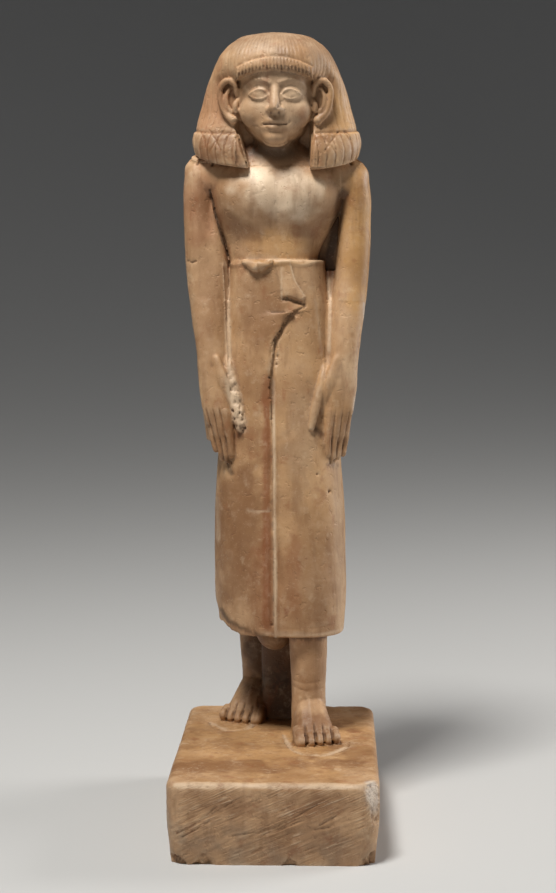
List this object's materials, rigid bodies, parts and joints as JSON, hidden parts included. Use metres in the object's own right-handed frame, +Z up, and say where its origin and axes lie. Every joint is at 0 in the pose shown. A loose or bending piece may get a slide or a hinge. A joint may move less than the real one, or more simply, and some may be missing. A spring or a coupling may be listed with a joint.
{
  "type": "male statuette",
  "caption": "Stone statuette of a striding man in a shoulder-length wig and a long wrapped kilt, carved in one with its rectangular plinth.",
  "frame": {"origin": "centre of the plinth's underside, on the surface that the statuette stands on", "axes": "+Z up through the figure; -Y is the front, the way the figure faces; +X is the figure's own left"},
  "size_m": [0.0666, 0.108, 0.264],
  "materials": {
    "limestone": "warm tan limestone, soft sheen from handling, with brown patina and pale worn edges"
  },
  "bodies": {
    "root": {"statuette": "limestone"}
  },
  "joints": []
}
